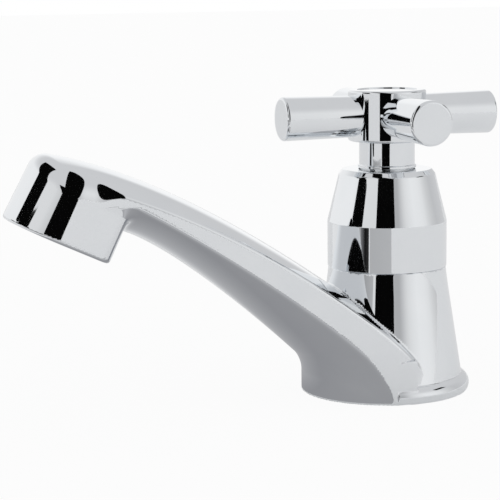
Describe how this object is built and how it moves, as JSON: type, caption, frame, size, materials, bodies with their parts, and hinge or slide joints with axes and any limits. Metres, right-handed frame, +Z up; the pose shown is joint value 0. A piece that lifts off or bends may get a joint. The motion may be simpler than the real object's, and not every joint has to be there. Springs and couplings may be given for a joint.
{
  "type": "cross handle tap",
  "caption": "Deck-mounted basin pillar tap: a bowed spout rises from a beaded base to a leaning nozzle, and a cross handle on a rising spindle works a washer valve.",
  "frame": {"origin": "centre of the base where it stands on the deck, on the axis of the tap hole", "axes": "+Z up along the spindle, spout towards -Y, +X across the spout"},
  "size_m": [0.067, 0.1508, 0.1409],
  "materials": {
    "polished_chrome": "polished chrome plate on brass",
    "plain_brass": "turned, bare",
    "stainless_steel": "satin",
    "red_fibre": "pressed vulcanised fibre",
    "black_rubber": "matt",
    "white_acetal": "matt",
    "grey_plastic": "matt"
  },
  "bodies": {
    "tap": {"tap_body": "polished_chrome", "inlet_tail": "plain_brass", "tail_seal": "red_fibre", "base_gasket": "black_rubber", "back_washer": "stainless_steel", "backnut": "plain_brass", "valve_seat": "stainless_steel", "headwork_gasket": "red_fibre", "headwork_body": "plain_brass", "shroud": "polished_chrome", "shroud_o_ring": "black_rubber", "guide_bush": "white_acetal", "flow_straightener": "grey_plastic", "straightener_o_ring": "black_rubber"},
    "valve": {"jumper_valve": "plain_brass", "tap_washer": "black_rubber", "washer_nut": "plain_brass"},
    "handle": {"spindle": "plain_brass", "spindle_o_rings": "black_rubber", "arm_right": "polished_chrome", "arm_back": "polished_chrome", "arm_left": "polished_chrome", "arm_front": "polished_chrome", "handle_hub": "polished_chrome", "handle_screw": "stainless_steel", "spring_washer": "stainless_steel", "index_cap": "polished_chrome"}
  },
  "joints": [
    {"name": "valve_lift", "type": "slide", "parent": "tap", "child": "valve", "axis": [0, 0, 1], "range_m": [0, 0.005]},
    {"name": "handle_turn", "type": "hinge", "parent": "valve", "child": "handle", "pos_m": [0, 0, 0.0831], "axis": [0, 0, 1], "range_deg": [0, 900]}
  ],
  "couplings": [
    {"joint": "valve_lift", "follows": "handle_turn", "m_per_rad": 0.00031831}
  ]
}
